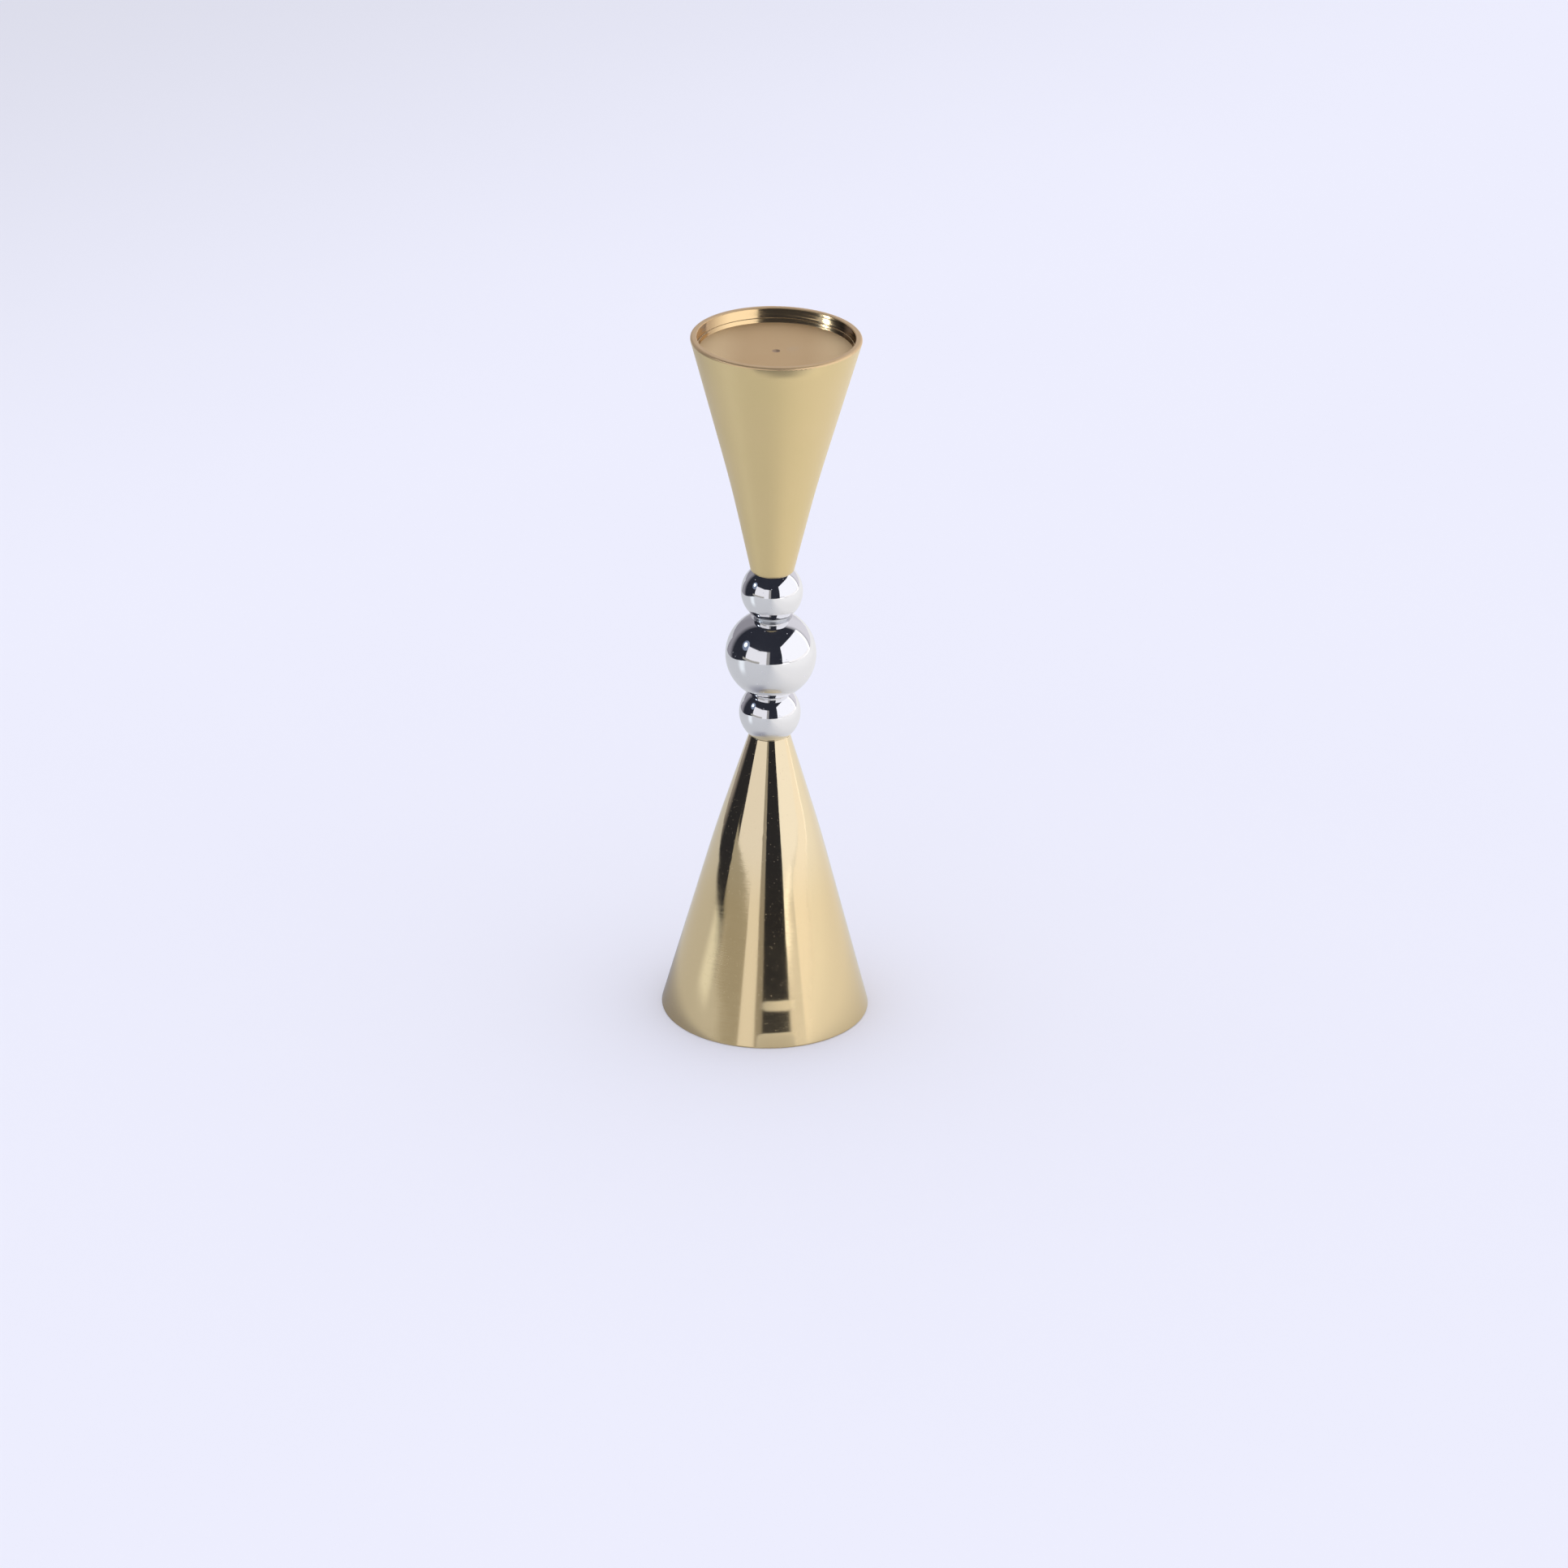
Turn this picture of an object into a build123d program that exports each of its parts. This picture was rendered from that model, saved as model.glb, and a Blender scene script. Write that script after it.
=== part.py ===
from build123d import *
from math import cos, radians, tan
import os

# A jigger-shaped candle holder: two cones, small ends together, with three plated beads between them.
# A threaded rod runs through the beads and the end walls of both cones, and a nut inside each cone
# clamps the stack. Everything is turned about the Z axis. The foot of the lower cone is at z = 0.
# Millimetres.

# Lower cone, mouth down
base_radius = 26.75
lower_cone_height = 76.7
lower_bend_height = 50.0
lower_bend_radius = 13.35
lower_end_radius = 5.15
lower_seat_depth = 6.2

# Upper cone, mouth up; heights are above its small end
rim_radius = 21.5
upper_cone_height = 62.65
upper_bend_height = 23.2
upper_bend_radius = 10.7
upper_end_radius = 5.45
upper_seat_depth = 7.0

# Both cones
wall = 1.8
bend_blend = 350.0
end_round = 0.4
foot_round = 0.35

# The pan in the upper cone's mouth: a thin pressed insert that stands on a shelf in the cone.
# Its seat tapers inwards by the draft, from the ledge down to the shelf.
mouth_radius = 19.7
pan_radius = 19.3
ledge_depth = 2.6
floor_depth = 3.8
floor_thickness = 0.6
seat_draft = 0.1
seat_gap = 0.04
insert_corner_round = 0.4
insert_edge_round = 0.1
rim_outer_round = 0.6
rim_inner_round = 0.25
centre_mark_radius = 1.0
centre_mark_depth = 0.3

# Beads, each with a flat turned on both poles
small_bead_radius = 7.8
centre_bead_radius = 11.5
bead_flat_radius = 5.15
bead_edge_round = 0.15
spacer_radius = 4.5
spacer_thickness = 1.05

# M5 rod, nuts and washers
rod_radius = 2.5
thread_pitch = 0.8
thread_depth = 0.4
thread_length = 14.4
rod_end_chamfer = 0.5
rod_stick_out = 2.0
clearance_radius = 2.75
washer_hole_radius = 2.65
flat_washer_radius = 5.0
flat_washer_thickness = 1.0
spring_washer_radius = 4.6
spring_washer_thickness = 1.2
spring_washer_slit = 0.8
spring_washer_slant = 20.0
nut_across_flats = 8.0
nut_height = 4.7
nut_hole_radius = 2.55
nut_chamfer_angle = 30.0

# Heights that follow from the stack
small_bead_half = (small_bead_radius**2 - bead_flat_radius**2) ** 0.5
centre_bead_half = (centre_bead_radius**2 - bead_flat_radius**2) ** 0.5
lower_bead_z = lower_cone_height + small_bead_half
centre_bead_z = lower_bead_z + small_bead_half + centre_bead_half
spacer_z = centre_bead_z + centre_bead_half
upper_bead_z = spacer_z + spacer_thickness + small_bead_half
upper_cone_z = upper_bead_z + small_bead_half
rim_z = upper_cone_z + upper_cone_height
ledge_z = rim_z - ledge_depth
floor_z = rim_z - floor_depth
shelf_z = floor_z - floor_thickness
lower_seat_z = lower_cone_height - lower_seat_depth
upper_seat_z = upper_cone_z + upper_seat_depth
clamp_thickness = flat_washer_thickness + spring_washer_thickness + nut_height


def radius_on(low, high, z):
    """Radius at height z on the straight line between two (radius, z) points."""
    return low[0] + (high[0] - low[0]) * (z - low[1]) / (high[1] - low[1])


def turned(*edges):
    """Solid of revolution about Z from the edges of a closed outline in the XZ plane."""
    return revolve(make_face(Plane.XZ * (Curve() + edges)), Axis.Z)


def lower_cone():
    """Open-bottomed shell with a thick end wall that carries the bottom washers."""
    foot = (base_radius, 0)
    bend = (lower_bend_radius, lower_bend_height)
    end = (lower_end_radius, lower_cone_height)
    inner_foot = (base_radius - wall, 0)
    inner_bend = (lower_bend_radius - wall, lower_bend_height)
    inner_seat = (radius_on(bend, end, lower_seat_z) - wall, lower_seat_z)
    outside = FilletPolyline(foot, bend, end, radius=bend_blend)
    inside = FilletPolyline(inner_foot, inner_bend, inner_seat, radius=bend_blend)
    end_wall = Polyline(
        inner_seat,
        (clearance_radius, lower_seat_z),
        (clearance_radius, lower_cone_height),
        end,
    )
    shell = turned(outside, inside, end_wall, Line(foot, inner_foot))
    foot_edges = shell.edges().filter_by(GeomType.CIRCLE).group_by(Axis.Z)[0]
    shell = fillet(foot_edges, foot_round)
    end_edge = shell.edges().filter_by(GeomType.CIRCLE).group_by(Axis.Z)[-1].sort_by(SortBy.RADIUS)[-1]
    return fillet(end_edge, end_round)


def upper_cone():
    """Shell with a rounded rim, a shelf for the pan insert and a thick end wall for the top washers."""
    end = (upper_end_radius, upper_cone_z)
    bend = (upper_bend_radius, upper_cone_z + upper_bend_height)
    rim = (rim_radius, rim_z)
    shelf = (radius_on(bend, rim, shelf_z) - wall, shelf_z)
    inner_bend = (upper_bend_radius - wall, upper_cone_z + upper_bend_height)
    inner_seat = (radius_on(end, bend, upper_seat_z) - wall, upper_seat_z)
    outside = FilletPolyline(end, bend, rim, radius=bend_blend)
    inside = FilletPolyline(shelf, inner_bend, inner_seat, radius=bend_blend)
    mouth = Polyline(
        rim,
        (mouth_radius, rim_z),
        (mouth_radius, ledge_z),
        (mouth_radius - seat_draft, shelf_z),
        shelf,
    )
    end_wall = Polyline(
        inner_seat,
        (clearance_radius, upper_seat_z),
        (clearance_radius, upper_cone_z),
        end,
    )
    shell = turned(outside, mouth, inside, end_wall)
    rim_edges = shell.edges().filter_by(GeomType.CIRCLE).group_by(Axis.Z)[-1].sort_by(SortBy.RADIUS)
    shell = fillet(rim_edges[-1], rim_outer_round)
    mouth_edge = shell.edges().filter_by(GeomType.CIRCLE).group_by(Axis.Z)[-1].sort_by(SortBy.RADIUS)[0]
    shell = fillet(mouth_edge, rim_inner_round)
    end_edge = shell.edges().filter_by(GeomType.CIRCLE).group_by(Axis.Z)[0].sort_by(SortBy.RADIUS)[-1]
    return fillet(end_edge, end_round)


def pan_insert():
    """Shallow pressed pan; the top of its wall is the ledge, and the centre mark is a small dimple."""
    top_radius = mouth_radius - seat_gap
    foot_radius = top_radius - seat_draft
    blank = turned(
        Polyline(
            (0, shelf_z),
            (foot_radius, shelf_z),
            (top_radius, ledge_z),
            (pan_radius, ledge_z),
            (pan_radius, floor_z),
            (0, floor_z),
            close=True,
        )
    )
    foot_edge = blank.edges().filter_by(GeomType.CIRCLE).group_by(Axis.Z)[0]
    blank = fillet(foot_edge, insert_corner_round)
    top_edges = blank.edges().filter_by(GeomType.CIRCLE).group_by(Axis.Z)[-1]
    pan = fillet(top_edges, insert_edge_round)
    dimple_radius = (centre_mark_radius**2 + centre_mark_depth**2) / (2 * centre_mark_depth)
    return pan - Pos(0, 0, floor_z + dimple_radius - centre_mark_depth) * Sphere(dimple_radius)


def bead(radius, z):
    """Ball with flats on both poles and a clearance hole for the rod."""
    half = (radius**2 - bead_flat_radius**2) ** 0.5
    ball = Sphere(radius) & Cylinder(radius, 2 * half)
    flat_edges = ball.edges().filter_by(GeomType.CIRCLE)
    ball = fillet(flat_edges, bead_edge_round)
    return Pos(0, 0, z) * (ball - Cylinder(clearance_radius, 2 * half))


def ring(outer_radius, hole_radius, thickness, z):
    """Flat ring whose lower face is at z."""
    hole = Cylinder(hole_radius, thickness)
    return Pos(0, 0, z + thickness / 2) * (Cylinder(outer_radius, thickness) - hole)


def spring_washer(z):
    """Split lock washer, pressed flat, with a slanted slit."""
    washer = ring(spring_washer_radius, washer_hole_radius, spring_washer_thickness, z)
    from_axis = (Align.MIN, Align.CENTER, Align.CENTER)
    slit = Box(spring_washer_radius, spring_washer_slit, spring_washer_radius, align=from_axis)
    slit = Rot(spring_washer_slant, 0, 0) * slit
    return washer - Pos(washer_hole_radius / 2, 0, z + spring_washer_thickness / 2) * slit


def nut(z):
    """Hexagon nut with both faces chamfered at the corners, lower face at z."""
    corner_radius = nut_across_flats / 2 / cos(radians(30))
    chamfer_height = (corner_radius - nut_across_flats / 2) * tan(radians(nut_chamfer_angle))
    blank = extrude(RegularPolygon(corner_radius, 6), nut_height)
    envelope = turned(
        Polyline(
            (0, 0),
            (nut_across_flats / 2, 0),
            (corner_radius, chamfer_height),
            (corner_radius, nut_height - chamfer_height),
            (nut_across_flats / 2, nut_height),
            (0, nut_height),
            close=True,
        )
    )
    hole = Pos(0, 0, nut_height / 2) * Cylinder(nut_hole_radius, nut_height)
    return Pos(0, 0, z) * ((blank & envelope) - hole)


def tie_rod():
    """Rod with threaded ends; each thread is drawn as rings at the thread's pitch."""
    low = lower_seat_z - clamp_thickness - rod_stick_out
    high = upper_seat_z + clamp_thickness + rod_stick_out
    root_radius = rod_radius - thread_depth
    half_outline = [(0, low), (rod_radius - rod_end_chamfer, low), (rod_radius, low + rod_end_chamfer)]
    teeth = int(thread_length / thread_pitch)
    for tooth in range(teeth):
        crest_z = low + rod_end_chamfer + tooth * thread_pitch
        half_outline.append((root_radius, crest_z + thread_pitch / 2))
        half_outline.append((rod_radius, crest_z + thread_pitch))
    mirrored = [(radius, low + high - z) for radius, z in reversed(half_outline)]
    return turned(Polyline(*half_outline, *mirrored, close=True))


parts = {
    "lower_cone": lower_cone(),
    "upper_cone": upper_cone(),
    "pan_insert": pan_insert(),
    "lower_bead": bead(small_bead_radius, lower_bead_z),
    "centre_bead": bead(centre_bead_radius, centre_bead_z),
    "upper_bead": bead(small_bead_radius, upper_bead_z),
    "neck_spacer": ring(spacer_radius, washer_hole_radius, spacer_thickness, spacer_z),
    "tie_rod": tie_rod(),
    "top_flat_washer": ring(flat_washer_radius, washer_hole_radius, flat_washer_thickness, upper_seat_z),
    "top_spring_washer": spring_washer(upper_seat_z + flat_washer_thickness),
    "top_nut": nut(upper_seat_z + flat_washer_thickness + spring_washer_thickness),
    "bottom_flat_washer": ring(
        flat_washer_radius,
        washer_hole_radius,
        flat_washer_thickness,
        lower_seat_z - flat_washer_thickness,
    ),
    "bottom_spring_washer": spring_washer(
        lower_seat_z - flat_washer_thickness - spring_washer_thickness
    ),
    "bottom_nut": nut(lower_seat_z - clamp_thickness),
}

os.makedirs("parts", exist_ok=True)
for name, solid in parts.items():
    solid.label = name
    export_step(solid, f"parts/{name}.step")
print(f"overall height {rim_z:.2f}, floor at {floor_z:.2f}, upper cone starts at {upper_cone_z:.2f}")
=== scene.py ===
"""Looks for the jigger-shaped candle holder: metal finishes, studio light and the camera."""

import math

import bpy
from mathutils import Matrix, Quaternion, Vector


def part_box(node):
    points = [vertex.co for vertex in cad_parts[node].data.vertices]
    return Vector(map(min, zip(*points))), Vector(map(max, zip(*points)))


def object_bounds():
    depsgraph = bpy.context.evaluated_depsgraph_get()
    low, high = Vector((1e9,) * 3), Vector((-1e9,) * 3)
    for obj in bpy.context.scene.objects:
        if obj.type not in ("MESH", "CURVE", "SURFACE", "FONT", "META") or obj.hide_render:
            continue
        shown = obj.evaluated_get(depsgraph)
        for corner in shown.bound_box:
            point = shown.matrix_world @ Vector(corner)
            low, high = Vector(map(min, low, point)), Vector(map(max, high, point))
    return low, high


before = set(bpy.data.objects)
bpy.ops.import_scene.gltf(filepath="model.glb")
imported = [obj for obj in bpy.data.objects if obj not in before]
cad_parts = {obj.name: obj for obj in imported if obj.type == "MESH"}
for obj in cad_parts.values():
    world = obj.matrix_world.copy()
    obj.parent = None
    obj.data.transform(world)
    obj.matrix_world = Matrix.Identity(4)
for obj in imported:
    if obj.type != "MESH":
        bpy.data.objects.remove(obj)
cad_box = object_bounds()

MM = 0.001
HOLDER_HEIGHT = cad_box[1][2]

# Camera: a long lens looking down at the middle of the holder
LENS_MM = 149.07
SENSOR_MM = 36
CAMERA_DISTANCE = 1.643
CAMERA_ELEVATION = 24.45
TARGET_HEIGHT = 0.090
AIM_BELOW_TARGET = 0.874
AIM_RIGHT_OF_TARGET = 0.136
CAMERA_ROLL = 1.0

# Colours of the metals, as linear reflectances
GOLD = (0.78, 0.66, 0.44)
FOOT_GOLD = (0.76, 0.61, 0.36)
SATIN_GOLD = (0.68, 0.53, 0.27)
CLOUDED_SATIN_GOLD = (0.66, 0.53, 0.25)
RIM_GOLD = (0.74, 0.53, 0.29)
PAN_GOLD = (0.81, 0.60, 0.34)
# Painted light for the sides of the pan floor
PAN_PAINTED_LIGHT_GOLD = (0.96, 0.76, 0.46)
PAN_SMUDGE = (0.76, 0.63, 0.48)
WALL_GOLD = (0.88, 0.64, 0.34)
# Painted shade for the sides of the pan wall
WALL_PAINTED_SHADE = (0.22, 0.13, 0.07)
# Painted shade for the small centre mark in the pan
MARK_PAINTED_SHADE = (0.52, 0.38, 0.26)
INNER_GOLD = (0.70, 0.57, 0.36)
INNER_STAIN = (0.50, 0.42, 0.30)
CHROME = (0.80, 0.80, 0.81)
ZINC = (0.62, 0.63, 0.64)
ZINC_PATCH = (0.52, 0.54, 0.58)

# Places on the holder where one finish gives way to another
RIM_DEPTH = 0.6 * MM
PAN_WALL_START = 18 * MM
MARK_RADIUS = 1 * MM

# A face whose normal has at least this much Z counts as flat
FLAT = 0.9

# The studio, in metres
FLOOR_REACH = 8
PANEL_DISTANCE = 1.0
LAMP_DISTANCE = 1.2


# Shader helpers


class Graph:
    """Short calls for the shader nodes used here, in one node tree."""

    def __init__(self, tree, coordinates):
        self.tree = tree
        self.position = tree.nodes.new("ShaderNodeTexCoord").outputs[coordinates]

    def plug(self, node, entry, value):
        """Links a socket into an input, given by name or number, or writes a plain value on it."""
        if isinstance(value, bpy.types.NodeSocket):
            self.tree.links.new(value, node.inputs[entry])
        else:
            node.inputs[entry].default_value = value

    def math(self, operation, first, second=0.0):
        node = self.tree.nodes.new("ShaderNodeMath")
        node.operation = operation
        self.plug(node, 0, first)
        self.plug(node, 1, second)
        return node.outputs[0]

    def vector_math(self, operation, first, second=(0, 0, 0)):
        node = self.tree.nodes.new("ShaderNodeVectorMath")
        node.operation = operation
        self.plug(node, 0, first)
        self.plug(node, 1, second)
        return node.outputs[0]

    def axes(self, vector=None):
        """X, Y and Z of a vector, or of the position."""
        node = self.tree.nodes.new("ShaderNodeSeparateXYZ")
        self.tree.links.new(vector or self.position, node.inputs[0])
        return node.outputs[0], node.outputs[1], node.outputs[2]

    def from_axis(self):
        """Distance from the Z axis, in metres."""
        x, y, _ = self.axes()
        squares = self.math("ADD", self.math("POWER", x, 2), self.math("POWER", y, 2))
        return self.math("SQRT", squares)

    def stretched(self, x, y, z):
        """The position with each axis scaled."""
        node = self.tree.nodes.new("ShaderNodeMapping")
        self.tree.links.new(self.position, node.inputs["Vector"])
        node.inputs["Scale"].default_value = (x, y, z)
        return node.outputs[0]

    def noise(self, scale, detail=3.0, roughness=0.5, vector=None):
        node = self.tree.nodes.new("ShaderNodeTexNoise")
        self.tree.links.new(vector or self.position, node.inputs["Vector"])
        self.plug(node, "Scale", scale)
        self.plug(node, "Detail", detail)
        self.plug(node, "Roughness", roughness)
        return node.outputs["Fac"]

    def cells(self, scale):
        """Distance to the nearest of many scattered points."""
        node = self.tree.nodes.new("ShaderNodeTexVoronoi")
        self.tree.links.new(self.position, node.inputs["Vector"])
        self.plug(node, "Scale", scale)
        return node.outputs["Distance"]

    def dust(self, scale):
        """1 on scattered specks a tenth of a millimetre or so across, 0 between them."""
        speck = self.spread(self.cells(scale), 0.07, 0.12, 1.0, 0.0)
        return self.math("MULTIPLY", speck, self.spread(self.noise(800, 2), 0.50, 0.56, 0.0, 1.0))

    def spread(self, value, low, high, to_low, to_high, smooth=False):
        """Maps low..high to to_low..to_high, clamped."""
        node = self.tree.nodes.new("ShaderNodeMapRange")
        if smooth:
            node.interpolation_type = "SMOOTHSTEP"
        self.plug(node, 0, value)
        for index, number in enumerate((low, high, to_low, to_high), start=1):
            self.plug(node, index, number)
        return node.outputs[0]

    def blend(self, factor, first, second):
        """Colour mix."""
        node = self.tree.nodes.new("ShaderNodeMix")
        node.data_type = "RGBA"
        self.plug(node, 0, factor)
        self.plug(node, 6, first)
        self.plug(node, 7, second)
        return node.outputs[2]

    def bump(self, height, depth, normal=None):
        """A bump whose full height is depth metres."""
        node = self.tree.nodes.new("ShaderNodeBump")
        node.inputs["Strength"].default_value = 1.0
        node.inputs["Distance"].default_value = depth
        self.tree.links.new(height, node.inputs["Height"])
        if normal:
            self.tree.links.new(normal, node.inputs["Normal"])
        return node.outputs[0]

    def middle(self, centre, near, far):
        """1 within near of the line x = centre, fading to 0 at far."""
        across = self.math("ABSOLUTE", self.math("SUBTRACT", self.axes()[0], centre))
        return self.spread(across, near, far, 1.0, 0.0, smooth=True)

    def leaning_normal(self, rise):
        """The surface normal with rise added along Z, then made unit length again."""
        surface = self.tree.nodes.new("ShaderNodeNewGeometry").outputs["Normal"]
        up = self.tree.nodes.new("ShaderNodeCombineXYZ")
        self.plug(up, "Z", rise)
        return self.vector_math("NORMALIZE", self.vector_math("ADD", surface, up.outputs[0]))


class Finish(Graph):
    """A new material with one Principled BSDF, patterned by the place on the holder."""

    def __init__(self, name):
        self.material = bpy.data.materials.new(name)
        self.material.use_nodes = True
        super().__init__(self.material.node_tree, "Object")
        self.shader = self.tree.nodes["Principled BSDF"]

    def set(self, **values):
        """Writes values straight on the shader's own sockets; underscores stand for spaces."""
        for name, value in values.items():
            self.shader.inputs[name.replace("_", " ")].default_value = value

    def drive(self, name, socket):
        """Links a socket into one of the shader's inputs."""
        self.tree.links.new(socket, self.shader.inputs[name])

    def turned_tangent(self):
        """Stretches highlights across the circular marks that a lathe leaves about Z."""
        node = self.tree.nodes.new("ShaderNodeTangent")
        node.direction_type = "RADIAL"
        node.axis = "Z"
        self.drive("Tangent", node.outputs[0])


def rgba(colour):
    return (*colour, 1.0)


# Materials


def satin_gold():
    """Lacquered fine satin: short random grain and slightly cloudy roughness.

    The last few millimetres below the rim are rubbed over in the middle.
    """
    graph = Finish("satin_gold")
    cloud = graph.noise(60, 4)
    grain = graph.noise(5200, 2)
    height = graph.axes()[2]
    rub_start = HOLDER_HEIGHT - 5 * MM
    rubbed = graph.spread(height, rub_start, HOLDER_HEIGHT, 0.0, 0.8, smooth=True)
    rubbed = graph.math("MULTIPLY", rubbed, graph.middle(1.5 * MM, 5 * MM, 12 * MM))
    graph.drive("Base Color", graph.blend(cloud, rgba(SATIN_GOLD), rgba(CLOUDED_SATIN_GOLD)))
    graph.drive("Roughness", graph.spread(cloud, 0.3, 0.7, 0.39, 0.45))
    graph.drive("Normal", graph.bump(grain, 0.004 * MM, graph.leaning_normal(rubbed)))
    graph.set(Metallic=0.75, Coat_Weight=0.4, Coat_Roughness=0.3)
    return graph.material


def polished_gold():
    """Turned and polished, going satin and deeper gold towards the foot, with streaks and small pits.

    Polishing has left broad ripples, a shallow wave near the foot and the last few millimetres
    turned in. The wave and the turned-in foot fade out to both sides of the middle.
    """
    wave_height = 10.8 * MM
    wave_lean = -0.045
    foot_lean = -0.12
    satin_height = 60 * MM
    graph = Finish("polished_gold")
    height = graph.axes()[2]
    rings = graph.noise(1.0, 3, vector=graph.stretched(30, 30, 6000))
    dust = graph.dust(1500)
    worn = graph.noise(120, 5, 0.6)
    satin = graph.spread(height, 0.0, satin_height, 0.10, 0.05, smooth=True)
    streaks = graph.spread(rings, 0.3, 0.7, -0.015, 0.015)
    rough = graph.math("ADD", satin, streaks)
    rough = graph.math("ADD", rough, graph.spread(worn, 0.45, 0.75, 0.0, 0.03))
    rough = graph.math("ADD", rough, dust)
    off_wave = graph.math("ABSOLUTE", graph.math("SUBTRACT", height, wave_height))
    wave = graph.spread(off_wave, 0.4 * MM, 2.4 * MM, wave_lean, 0.0, smooth=True)
    turned_in = graph.spread(height, 2.5 * MM, 4.5 * MM, foot_lean, 0.0, smooth=True)
    middle = graph.middle(3 * MM, 2 * MM, 6 * MM)
    lean = graph.leaning_normal(graph.math("MULTIPLY", graph.math("ADD", wave, turned_in), middle))
    deep = graph.spread(height, 32 * MM, 52 * MM, 1.0, 0.0, smooth=True)
    graph.drive("Base Color", graph.blend(deep, rgba(GOLD), rgba(FOOT_GOLD)))
    graph.drive("Roughness", rough)
    graph.drive("Metallic", graph.spread(dust, 0.0, 1.0, 1.0, 0.8))
    rippled = graph.bump(graph.noise(55, 1), 0.10 * MM, lean)
    graph.drive("Normal", graph.bump(rings, 0.0015 * MM, rippled))
    graph.set(Anisotropic=0.5)
    graph.turned_tangent()
    return graph.material


def pan_wall_gold():
    """Bright turned wall of the pan, darkened towards its sides by painted shade.

    Its fine ridges lean upwards and catch the room above the rim.
    """
    graph = Finish("pan_wall_gold")
    rings = graph.noise(1.0, 3, vector=graph.stretched(40, 40, 7000))
    ridges = graph.noise(1.0, 2, vector=graph.stretched(60, 60, 2500))
    lean = graph.spread(ridges, 0.3, 0.7, 0.44, 0.56)
    across = graph.math("ABSOLUTE", graph.axes()[0])
    # Painted shade: the wall's colour darkens towards its sides
    painted_shade = graph.spread(across, 11 * MM, 19 * MM, 0.0, 0.85, smooth=True)
    graph.drive("Base Color", graph.blend(painted_shade, rgba(WALL_GOLD), rgba(WALL_PAINTED_SHADE)))
    graph.drive("Roughness", graph.spread(rings, 0.3, 0.7, 0.08, 0.20))
    graph.drive("Normal", graph.leaning_normal(lean))
    graph.set(Metallic=1.0, Anisotropic=0.5)
    graph.turned_tangent()
    return graph.material


def rim_gold():
    """Rounded rim, satin like the outside but rubbed in places."""
    graph = Finish("rim_gold")
    wear = graph.noise(150, 4)
    graph.drive("Roughness", graph.spread(wear, 0.3, 0.7, 0.34, 0.44))
    graph.drive("Normal", graph.bump(graph.noise(4200, 2), 0.003 * MM))
    graph.set(Metallic=0.8, Base_Color=rgba(RIM_GOLD))
    return graph.material


def blasted_gold():
    """Bead-blasted pan floor, made paler towards its sides by painted light, with a few handling marks.
    """
    graph = Finish("blasted_gold")
    cloud = graph.noise(90, 5, 0.6)
    smudge = graph.spread(graph.noise(55, 2), 0.58, 0.75, 0.0, 0.5, smooth=True)
    across = graph.math("ABSOLUTE", graph.axes()[0])
    # Painted light: the floor gets paler towards its sides
    side = graph.spread(across, 7 * MM, 16 * MM, 0.0, 1.0, smooth=True)
    colour = graph.blend(side, rgba(PAN_GOLD), rgba(PAN_PAINTED_LIGHT_GOLD))
    graph.drive("Base Color", graph.blend(smudge, colour, rgba(PAN_SMUDGE)))
    graph.drive("Roughness", graph.spread(cloud, 0.3, 0.7, 0.66, 0.76))
    graph.drive("Normal", graph.bump(graph.noise(3800, 3), 0.012 * MM))
    graph.set(Metallic=0.8)
    return graph.material


def mark_gold():
    """Painted shade: the small mark at the middle of the pan is darkened to a dull brown."""
    graph = Finish("mark_gold")
    graph.drive("Roughness", graph.spread(graph.noise(900, 2), 0.3, 0.7, 0.42, 0.58))
    graph.drive("Normal", graph.bump(graph.noise(3800, 3), 0.006 * MM))
    graph.set(Metallic=1.0, Base_Color=rgba(MARK_PAINTED_SHADE))
    return graph.material


def inner_gold():
    """Unpolished inside of the cones, with coarse turning marks."""
    graph = Finish("inner_gold")
    rings = graph.noise(1.0, 2, vector=graph.stretched(10, 10, 2500))
    stain = graph.noise(45, 5, 0.65)
    graph.drive("Base Color", graph.blend(stain, rgba(INNER_GOLD), rgba(INNER_STAIN)))
    graph.drive("Roughness", graph.spread(rings, 0.3, 0.7, 0.34, 0.52))
    graph.drive("Normal", graph.bump(rings, 0.010 * MM))
    graph.set(Metallic=1.0)
    return graph.material


def chrome_plate():
    """Mirror chrome with a faint haze, a slight waviness and scattered pin-sized specks of dust."""
    graph = Finish("chrome_plate")
    haze = graph.noise(170, 4)
    waves = graph.noise(190, 1)
    dust = graph.dust(750)
    graph.drive("Roughness", graph.math("ADD", graph.spread(haze, 0.4, 0.75, 0.04, 0.09), dust))
    graph.drive("Metallic", graph.spread(dust, 0.0, 1.0, 1.0, 0.75))
    graph.drive("Normal", graph.bump(waves, 0.03 * MM))
    graph.set(Base_Color=rgba(CHROME))
    return graph.material


def zinc_steel():
    """Zinc-plated steel of the rod, nuts and washers."""
    graph = Finish("zinc_steel")
    patches = graph.noise(700, 4, 0.6)
    graph.drive("Base Color", graph.blend(patches, rgba(ZINC), rgba(ZINC_PATCH)))
    graph.drive("Roughness", graph.spread(patches, 0.3, 0.7, 0.26, 0.46))
    graph.drive("Normal", graph.bump(graph.noise(3000, 2), 0.004 * MM))
    graph.set(Metallic=1.0)
    return graph.material


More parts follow.
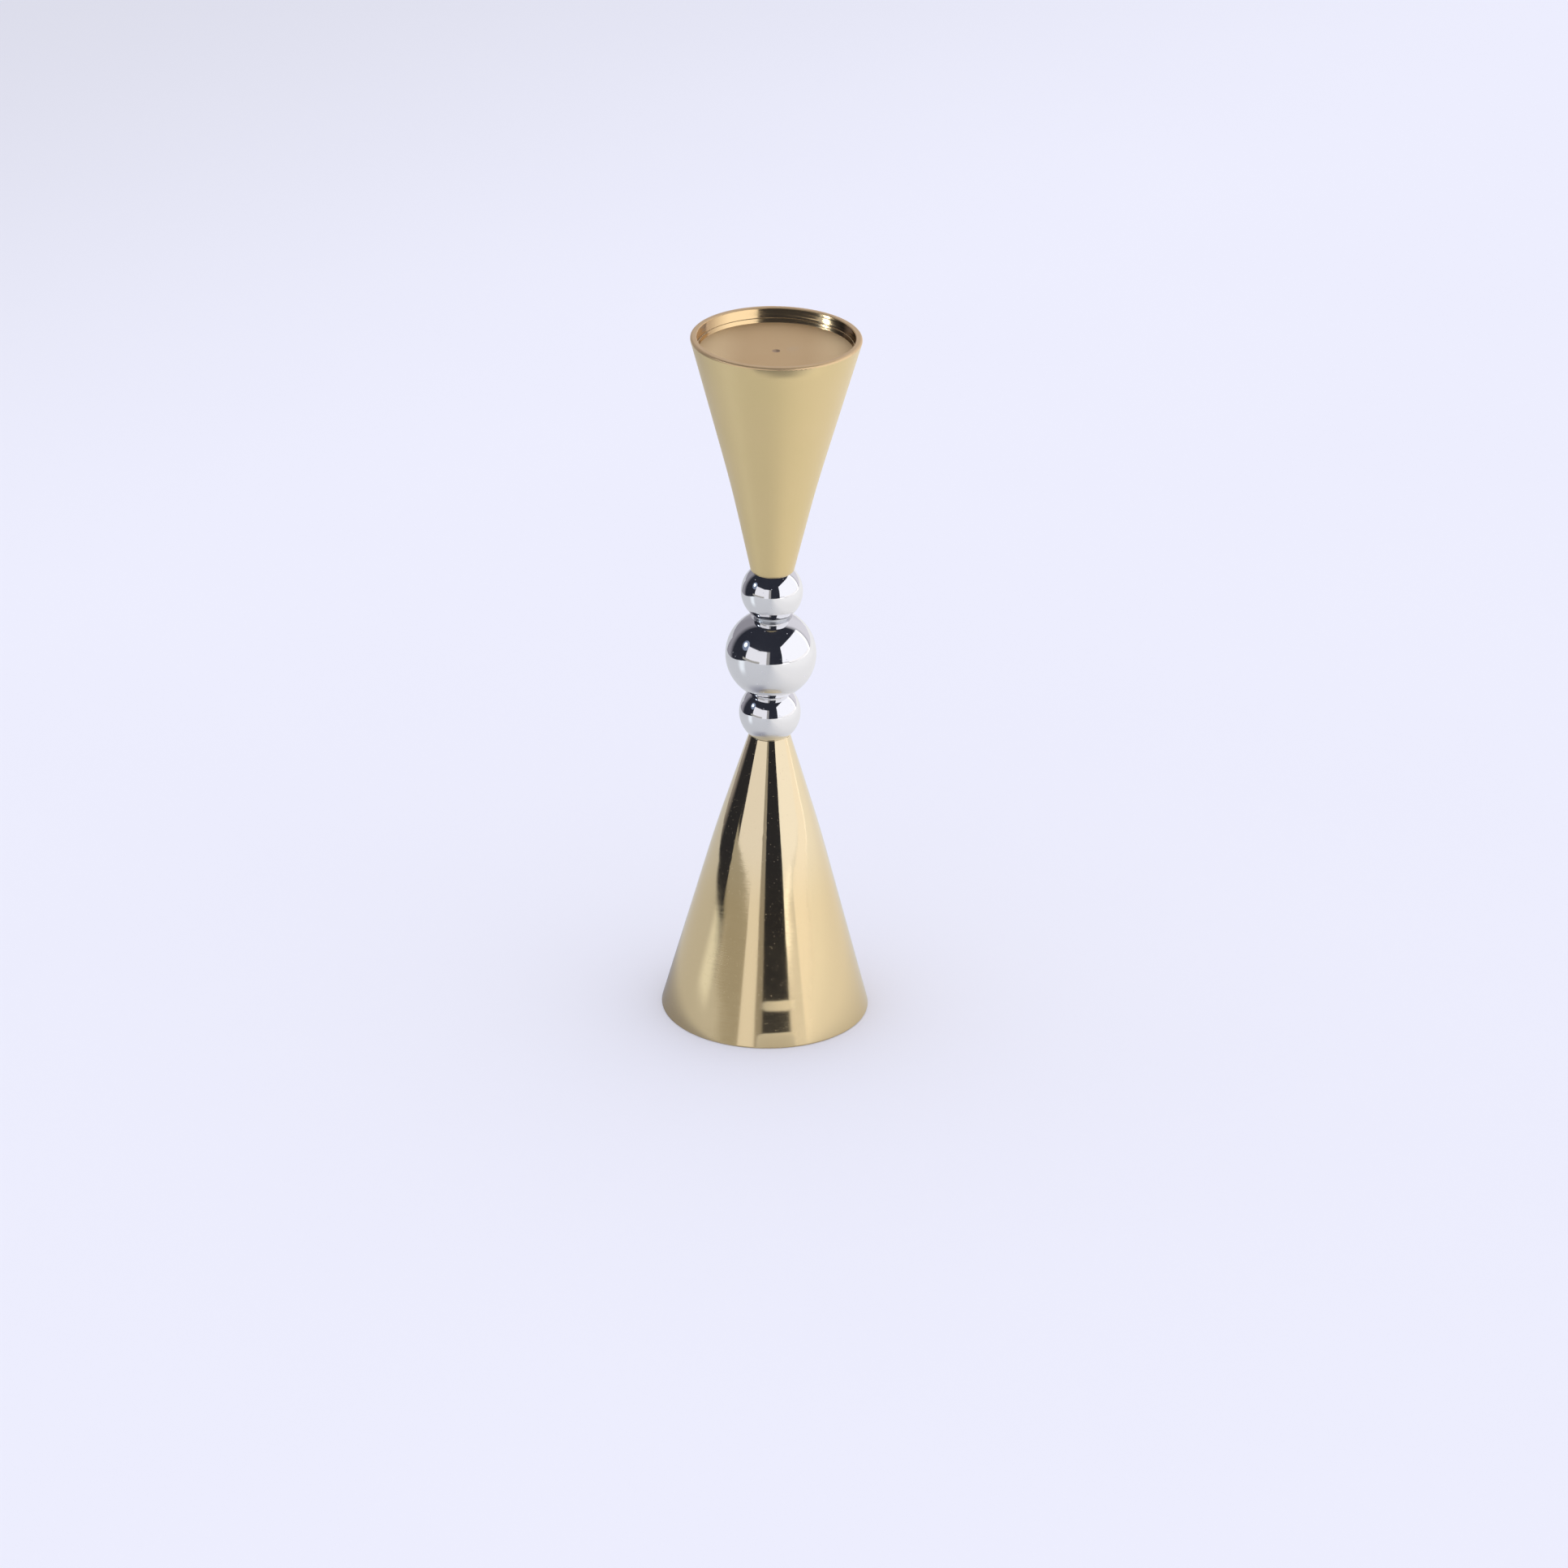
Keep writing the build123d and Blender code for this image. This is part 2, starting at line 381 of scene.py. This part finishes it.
def pale_floor():
    """Pale smooth floor, faintly uneven, shaded a little behind the holder on the left.

    Far away it takes the brightness of the sky.
    """
    pale = (0.89, 0.88, 0.90)
    clouded = (0.87, 0.86, 0.89)
    shade = (0.74, 0.73, 0.74)
    far_away = (0.97, 0.97, 0.97)
    graph = Finish("pale_floor")
    x, y, _ = graph.axes()
    back_left = graph.math("SUBTRACT", y, x)
    in_shade = graph.spread(back_left, 0.45, 1.2, 0.0, 1.0, smooth=True)
    not_past_it = graph.spread(back_left, 1.4, 2.6, 1.0, 0.0, smooth=True)
    in_shade = graph.math("MULTIPLY", in_shade, not_past_it)
    surface = graph.blend(graph.noise(6, 3), rgba(pale), rgba(clouded))
    surface = graph.blend(in_shade, surface, rgba(shade))
    far = graph.spread(graph.from_axis(), 1.2, 4.0, 0.0, 1.0, smooth=True)
    graph.drive("Base Color", graph.blend(far, surface, rgba(far_away)))
    graph.set(Roughness=0.6, Specular_IOR_Level=0.0)
    return graph.material


def table_top():
    """Table as the metal sees it: in half shade on the viewer's left, lit on the right.

    A beam of light crosses the shaded side, a quarter as deep as it is wide, and the holder's own
    shade lies close to its left side.
    """
    half_shade = (0.69, 0.69, 0.65)
    beam_light = (0.95, 0.99, 0.94)
    holder_shade = (0.42, 0.42, 0.44)
    window_light = (0.98, 0.95, 0.85)
    beam_slope = 0.25
    graph = Finish("table_top")
    x, y, _ = graph.axes()
    off_beam = graph.math("SUBTRACT", graph.math("DIVIDE", y, x), beam_slope)
    beam = graph.spread(graph.math("ABSOLUTE", off_beam), 0.04, 0.26, 1.0, 0.0, smooth=True)
    beam = graph.math("MULTIPLY", beam, graph.spread(x, -0.20, -0.10, 1.0, 0.0, smooth=True))
    near = graph.spread(graph.from_axis(), 0.030, 0.068, 1.0, 0.0, smooth=True)
    near = graph.math("MULTIPLY", near, graph.spread(x, -0.03, 0.0, 1.0, 0.0, smooth=True))
    lit = graph.spread(x, -0.03, 0.10, 0.0, 1.0, smooth=True)
    colour = graph.blend(beam, rgba(half_shade), rgba(beam_light))
    colour = graph.blend(near, colour, rgba(holder_shade))
    graph.drive("Base Color", graph.blend(lit, colour, rgba(window_light)))
    glow = graph.spread(x, 0.04, 0.40, 0.0, 0.10, smooth=True)
    graph.drive("Emission Strength", graph.math("ADD", glow, graph.math("MULTIPLY", beam, 0.08)))
    graph.set(Roughness=0.8, Emission_Color=rgba((1.0, 0.98, 0.92)))
    return graph.material


# Putting the materials on the CAD nodes


def dress(node, *materials):
    """Gives a CAD node these materials and returns its object."""
    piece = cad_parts[node]
    piece.data.materials.clear()
    for material in materials:
        piece.data.materials.append(material)
    return piece


def facing(face):
    """How far a face looks away from the Z axis: 1 outwards, -1 towards it."""
    out = Vector((face.center.x, face.center.y, 0)).normalized()
    return face.normal.dot(out)


def dress_upper_cone():
    """Satin outside, a bright wall in the mouth, a rubbed rim and a rough hollow under the pan."""
    piece = dress("upper_cone", satin_gold(), pan_wall_gold(), rim_gold(), inner_gold())
    wall, rim, hollow = 1, 2, 3
    shelf_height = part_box("pan_insert")[0].z
    for face in piece.data.polygons:
        inwards = facing(face) < 0
        if face.center.z > HOLDER_HEIGHT - RIM_DEPTH:
            face.material_index = rim
        elif inwards and face.center.z > shelf_height:
            face.material_index = wall
        elif inwards:
            face.material_index = hollow


def dress_pan_insert():
    """Blasted floor and ledge, a bright wall and a centre mark darkened by painted shade."""
    piece = dress("pan_insert", blasted_gold(), pan_wall_gold(), mark_gold())
    wall, mark = 1, 2
    for face in piece.data.polygons:
        from_axis = math.hypot(face.center.x, face.center.y)
        if from_axis > PAN_WALL_START and abs(face.normal.z) < FLAT:
            face.material_index = wall
        elif from_axis < MARK_RADIUS and face.normal.z > 0:
            face.material_index = mark


def dress_lower_cone():
    """Polished outside and foot; a rough hollow, up to the flat seat of the washers."""
    piece = dress("lower_cone", polished_gold(), inner_gold())
    hollow = 1
    foot_edge = 1 * MM
    for face in piece.data.polygons:
        looks_down = face.normal.z < -FLAT and face.center.z > foot_edge
        if facing(face) < 0 or looks_down:
            face.material_index = hollow


def dress_stack():
    """Chrome beads; zinc-plated spacer, rod, washers and nuts."""
    chrome = chrome_plate()
    zinc = zinc_steel()
    for node in ("lower_bead", "centre_bead", "upper_bead"):
        dress(node, chrome)
    for node in ("neck_spacer", "tie_rod"):
        dress(node, zinc)
    for end in ("top", "bottom"):
        for name in ("flat_washer", "spring_washer", "nut"):
            dress(f"{end}_{name}", zinc)


# The studio


def show_only_to(piece, camera=False, glossy=False, diffuse=False):
    """Hides a piece of the studio from every kind of ray but these; it casts no shadow."""
    piece.visible_camera = camera
    piece.visible_glossy = glossy
    piece.visible_diffuse = diffuse
    piece.visible_shadow = False


def sheet(name, corners, material):
    """Flat sheet at z = 0 with these (x, y) corners."""
    mesh = bpy.data.meshes.new(name)
    mesh.from_pydata([(x, y, 0) for x, y in corners], [], [range(len(corners))])
    mesh.materials.append(material)
    piece = bpy.data.objects.new(name, mesh)
    bpy.context.scene.collection.objects.link(piece)
    return piece


def compass(azimuth, distance, height):
    """A point at that azimuth from the viewer's side, positive to the viewer's right."""
    turn = math.radians(azimuth)
    return Vector((distance * math.sin(turn), -distance * math.cos(turn), height))


def hang(name, light, place, outwards):
    """Puts a light at a place, shining the opposite way to outwards; it shows in metal only."""
    piece = bpy.data.objects.new(name, light)
    bpy.context.scene.collection.objects.link(piece)
    piece.location = place
    piece.rotation_euler = outwards.to_track_quat("Z", "Y").to_euler()
    show_only_to(piece, glossy=True)


def panel(name, azimuths, heights, radiance, colour):
    """Upright rectangular light between two azimuths, in degrees, and two heights, facing the holder.

    Its radiance is how bright it looks in a mirror.
    """
    start, end = azimuths
    low, high = heights
    light = bpy.data.lights.new(name, "AREA")
    light.shape = "RECTANGLE"
    light.size = 2 * PANEL_DISTANCE * math.tan(math.radians(end - start) / 2)
    light.size_y = high - low
    light.color = colour
    light.energy = radiance * math.pi * light.size * light.size_y
    place = compass((start + end) / 2, PANEL_DISTANCE, (low + high) / 2)
    hang(name, light, place, Vector((place.x, place.y, 0)))


def lamp(name, azimuth, height, radius, radiance, colour):
    """Round lamp aimed at the middle of the holder."""
    light = bpy.data.lights.new(name, "AREA")
    light.shape = "DISK"
    light.size = 2 * radius
    light.color = colour
    light.energy = radiance * math.pi * math.pi * radius**2
    place = compass(azimuth, LAMP_DISTANCE, height)
    hang(name, light, place, place - Vector((0, 0, HOLDER_HEIGHT / 2)))


def build_floor():
    """The floor the camera sees, and the table that the metal sees.

    The table ends at the board, at the window and in front of the holder, and its left side has a
    deep notch that shows dark.
    """
    low = -FLOOR_REACH
    high = FLOOR_REACH
    floor = sheet("floor", [(low, low), (high, low), (high, high), (low, high)], pale_floor())
    show_only_to(floor, camera=True, diffuse=True)
    notch = (-0.17, 0.25)
    under_board = [(-0.90, -0.48), (-0.50, -0.95), (-0.19, -0.99), (-0.05, -1.0)]
    front_edge = [(-0.05, -1.1), (0.72, -1.1)]
    behind = [(1.24, 0.69), (2.4, 4), (-4, 4)]
    table = sheet("table", [notch, *under_board, *front_edge, *behind], table_top())
    table.location.z = 0.1 * MM
    show_only_to(table, glossy=True)


def build_world():
    """Even pale light; in mirrors the viewer's side of the room is dark and the far side pale.

    The far side is dim on the left and bright on the right.
    """
    ambient = (0.965, 0.985, 1.11)
    room_dark = (0.026, 0.028, 0.040)
    far_left = (0.32, 0.31, 0.35)
    far_right = (0.82, 0.80, 0.86)
    world = bpy.data.worlds.new("studio")
    world.use_nodes = True
    bpy.context.scene.world = world
    graph = Graph(world.node_tree, "Generated")
    level = graph.vector_math("MULTIPLY", graph.position, (1, 1, 0))
    x, y, _ = graph.axes(graph.vector_math("NORMALIZE", level))
    far_side = graph.spread(y, 0.36, 0.60, 0.0, 1.0)
    right_side = graph.spread(x, -0.5, 0.5, 0.0, 1.0)
    far_colour = graph.blend(right_side, rgba(far_left), rgba(far_right))
    room = graph.blend(far_side, rgba(room_dark), far_colour)
    in_mirror = graph.tree.nodes.new("ShaderNodeLightPath").outputs["Is Glossy Ray"]
    background = graph.tree.nodes["Background"]
    graph.plug(background, "Color", graph.blend(in_mirror, rgba(ambient), room))


def build_lights():
    """A window on the right, a pale board on the left with a grey foot and edge, and a lamp beyond it."""
    sill = 0.08
    board_foot = 0.085
    board_top = 0.60
    panel("window", (29, 119), (sill, 1.12), 1.15, (0.98, 0.98, 1.03))
    panel("window_low_left", (29, 46), (0.0, sill), 0.85, (1.0, 0.98, 1.0))
    panel("window_low_right", (46, 119), (0.0, sill), 1.15, (1.0, 0.97, 0.97))
    panel("board_left", (-66, -28), (board_foot, board_top), 0.92, (1.0, 0.99, 1.04))
    panel("board_right", (-28, -11), (0.0, board_top), 0.92, (1.0, 0.99, 1.04))
    panel("board_foot", (-74, -28), (0.0, board_foot), 0.40, (1.0, 0.96, 0.86))
    panel("board_edge", (-11, -3), (0.0, board_top), 0.34, (1.0, 0.96, 0.92))
    lamp("lamp", -78, 0.62, 0.05, 30, (0.88, 0.94, 1.0))
    lamp("lamp_glow", -78, 0.62, 0.11, 1.6, (0.72, 0.82, 1.0))
    lamp("lamp_halo", -76, 0.60, 0.24, 0.35, (0.60, 0.72, 1.0))


def build_camera():
    """The lens axis passes a little below and to the right of the target, with a slight roll."""
    camera = bpy.data.objects.new("camera", bpy.data.cameras.new("camera"))
    bpy.context.scene.collection.objects.link(camera)
    camera.data.lens = LENS_MM
    camera.data.sensor_width = SENSOR_MM
    camera.data.clip_end = 50
    rise = math.radians(CAMERA_ELEVATION)
    target = Vector((0, 0, TARGET_HEIGHT))
    camera.location = target + CAMERA_DISTANCE * Vector((0, -math.cos(rise), math.sin(rise)))
    straight = (target - camera.location).to_track_quat("-Z", "Y")
    down = Quaternion((1, 0, 0), math.radians(-AIM_BELOW_TARGET))
    right = Quaternion((0, 1, 0), math.radians(-AIM_RIGHT_OF_TARGET))
    roll = Quaternion((0, 0, 1), math.radians(CAMERA_ROLL))
    camera.rotation_mode = "QUATERNION"
    camera.rotation_quaternion = straight @ down @ right @ roll
    bpy.context.scene.camera = camera


dress_upper_cone()
dress_pan_insert()
dress_lower_cone()
dress_stack()
build_floor()
build_world()
build_lights()
build_camera()
bpy.context.scene.view_settings.view_transform = "Standard"
